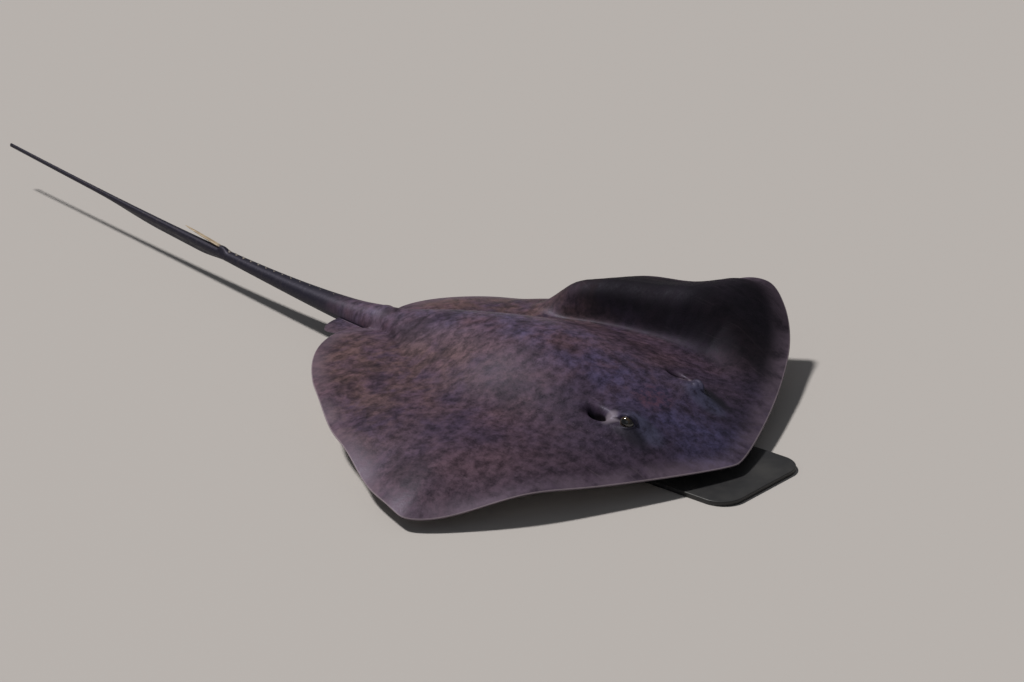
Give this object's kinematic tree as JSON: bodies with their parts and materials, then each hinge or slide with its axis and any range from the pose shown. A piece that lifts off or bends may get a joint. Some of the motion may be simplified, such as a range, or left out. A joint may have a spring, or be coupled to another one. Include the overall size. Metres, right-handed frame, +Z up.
{
  "type": "life-size stingray museum model on a low display stand",
  "caption": "Still model of a large dark short-tail stingray swimming with one wing raised in a wave, thorny whip tail trailing, held low over a flat plate by two short rods.",
  "frame": {"origin": "middle of the underside of the stand's base plate", "axes": "+Z up, -Y towards the snout, +Y towards the tail, +X towards the animal's left wing, which is the raised one"},
  "size_m": [1.1566, 2.49, 0.1942],
  "materials": {
    "skin": "smooth wet-looking hide, dark plum grey above and white below",
    "tail_skin": "dark hide with small thorns",
    "spine_bone": "satin bone",
    "eye": "wet gloss",
    "stand_plate": "satin black powder coat",
    "stand_rod": "brushed"
  },
  "bodies": {
    "root": {"head": "skin", "trunk": "skin", "wing_left": "skin", "wing_right": "skin", "pelvic_fin_left": "skin", "pelvic_fin_right": "skin", "tail_base": "tail_skin", "tail_middle": "tail_skin", "tail_end": "tail_skin", "tail_spine": "spine_bone", "eye_left": "eye", "eye_right": "eye", "stand_base": "stand_plate", "stand_rod_front": "stand_rod", "stand_rod_rear": "stand_rod"}
  },
  "joints": []
}
